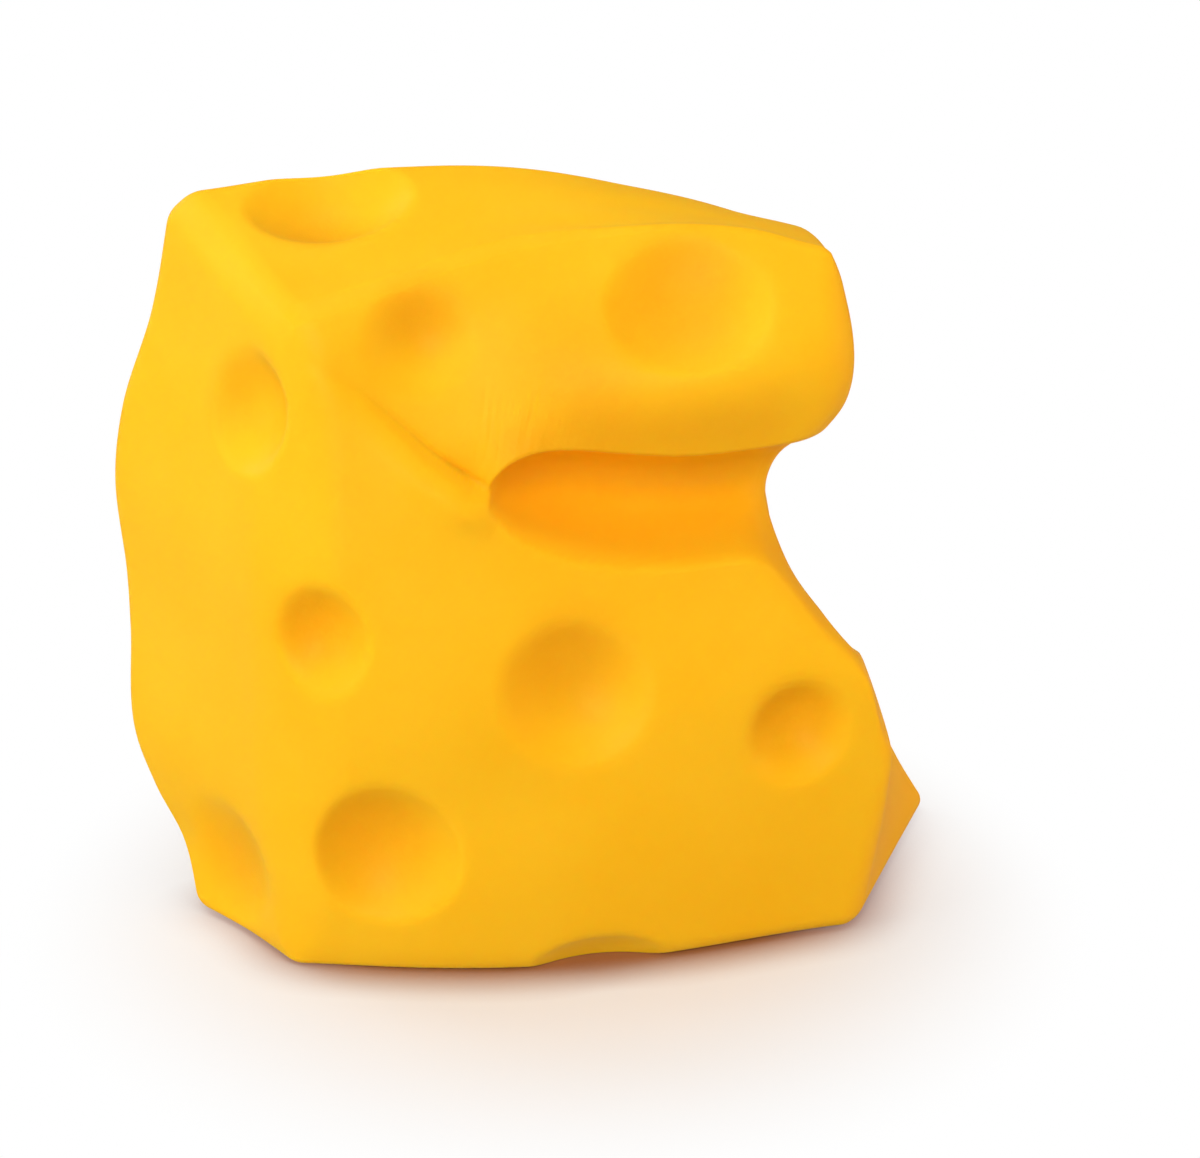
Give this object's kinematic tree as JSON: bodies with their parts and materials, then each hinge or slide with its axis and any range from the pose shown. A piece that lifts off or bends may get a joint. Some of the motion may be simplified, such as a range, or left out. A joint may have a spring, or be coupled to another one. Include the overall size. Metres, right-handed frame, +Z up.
{
  "type": "squeeze stress toy",
  "caption": "Soft cheese-block squeeze toy with round craters, standing on its flat base in the pinched shape left by a squeezing hand: thumb groove in front, finger dents behind.",
  "frame": {"origin": "centre of the bounding box in plan, on the plane of the flat base", "axes": "+Z up from the base, +X to the right as the thumb groove is faced, towards the side the hand comes in from, +Y from the thumb side to the finger side"},
  "size_m": [0.159, 0.064, 0.139],
  "materials": {
    "yellow_rubber": "soft powdery matt thermoplastic rubber",
    "amber_syrup": "thick clear amber syrup",
    "stopper_rubber": "matt",
    "seal_rubber": "satin, set from liquid"
  },
  "bodies": {
    "root": {"skin": "yellow_rubber", "maltose_filling": "amber_syrup", "fill_stopper": "stopper_rubber", "stopper_seal": "seal_rubber"}
  },
  "joints": []
}
